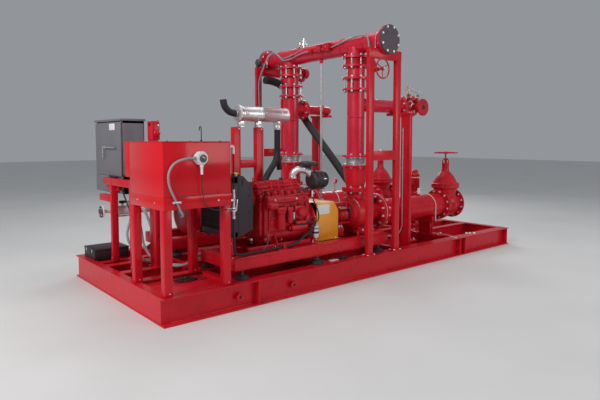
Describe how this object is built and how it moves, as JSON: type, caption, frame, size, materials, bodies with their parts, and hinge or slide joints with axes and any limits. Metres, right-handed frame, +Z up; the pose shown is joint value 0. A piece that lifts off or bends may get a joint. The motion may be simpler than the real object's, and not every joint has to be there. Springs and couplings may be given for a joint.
{
  "type": "diesel fire pump package",
  "caption": "Skid mounted fire pump package: diesel and electric driven pumps, risers to a shared header, fuel tank, controller, silencer and suction gate valves.",
  "frame": {"origin": "centre of the skid's underside, which is also the bottom centre of the bounding box", "axes": "+X along the skid from the fuel tank end to the suction end, +Y from the diesel set to the electric set, +Z up"},
  "size_m": [5.82, 2.39, 2.97],
  "materials": {
    "red_paint": "gloss",
    "black_paint": "satin",
    "stainless": "satin",
    "grey_paint": "satin",
    "light_grey_plastic": "satin",
    "bare_iron": "matte",
    "yellow_paint": "satin",
    "grey_conduit": "satin",
    "black_rubber": "matte"
  },
  "bodies": {
    "package": {"air_filter": "black_paint", "alarm_post": "red_paint", "battery_box": "black_paint", "bellows_far": "stainless", "bellows_near": "stainless", "blind_flange_far": "bare_iron", "blind_flange_near": "bare_iron", "branch_post_far": "red_paint", "branch_post_near": "red_paint", "butterfly_valve_far": "red_paint", "butterfly_valve_near": "red_paint", "cabinet_hoses": "grey_conduit", "cabinet_stand": "red_paint", "controller_cabinet": "grey_paint", "coupling_guard_far": "yellow_paint", "coupling_guard_near": "yellow_paint", "diesel_base": "red_paint", "diesel_engine": "red_paint", "drain_pipe": "stainless", "electric_base": "red_paint", "electric_motor": "red_paint", "exhaust_pipe": "black_paint", "fuel_hose": "black_rubber", "fuel_tank": "red_paint", "gate_valve_far": "red_paint", "gate_valve_near": "red_paint", "header": "red_paint", "header_conduit": "grey_conduit", "jockey_pump": "red_paint", "level_gauge": "light_grey_plastic", "portal_far": "red_paint", "portal_near": "red_paint", "pump_far": "red_paint", "pump_near": "red_paint", "radiator": "black_paint", "relief_valve_far": "red_paint", "relief_valve_near": "red_paint", "riser_far": "red_paint", "riser_near": "red_paint", "silencer": "stainless", "silencer_stand": "red_paint", "skid_beam_far": "red_paint", "skid_beam_near": "red_paint", "skid_end_front": "red_paint", "skid_end_rear": "red_paint", "skid_inner_frame": "red_paint", "slanted_duct": "black_paint", "stainless_manifold": "stainless", "suction_pipe_far": "red_paint", "suction_pipe_near": "red_paint", "tailpipe": "black_paint", "tank_cable": "black_rubber", "tank_conduit": "grey_conduit", "tank_lid": "red_paint", "tank_stand": "red_paint"},
    "gate_wheel_near": {"gate_handwheel_near": "red_paint"},
    "gate_wheel_far": {"gate_handwheel_far": "red_paint"},
    "butterfly_wheel_near": {"butterfly_handwheel_near": "red_paint"},
    "butterfly_wheel_far": {"butterfly_handwheel_far": "red_paint"},
    "door": {"cabinet_door": "grey_paint"}
  },
  "joints": [
    {"name": "gate_wheel_near_spin", "type": "hinge", "parent": "package", "child": "gate_wheel_near", "pos_m": [1.945, -0.645, 1.432], "axis": [0, 0, 1], "continuous": true},
    {"name": "butterfly_wheel_near_spin", "type": "hinge", "parent": "package", "child": "butterfly_wheel_near", "pos_m": [0.235, -0.86, 2.515], "axis": [0, 1, 0], "continuous": true},
    {"name": "gate_wheel_far_spin", "type": "hinge", "parent": "package", "child": "gate_wheel_far", "pos_m": [1.945, 0.645, 1.432], "axis": [0, 0, 1], "continuous": true},
    {"name": "butterfly_wheel_far_spin", "type": "hinge", "parent": "package", "child": "butterfly_wheel_far", "pos_m": [0.235, 0.86, 2.515], "axis": [0, 1, 0], "continuous": true},
    {"name": "cabinet_door_swing", "type": "hinge", "parent": "package", "child": "door", "pos_m": [-2.633, 0.368, 1.5], "axis": [0, 0, 1], "range_deg": [0, 110]}
  ]
}
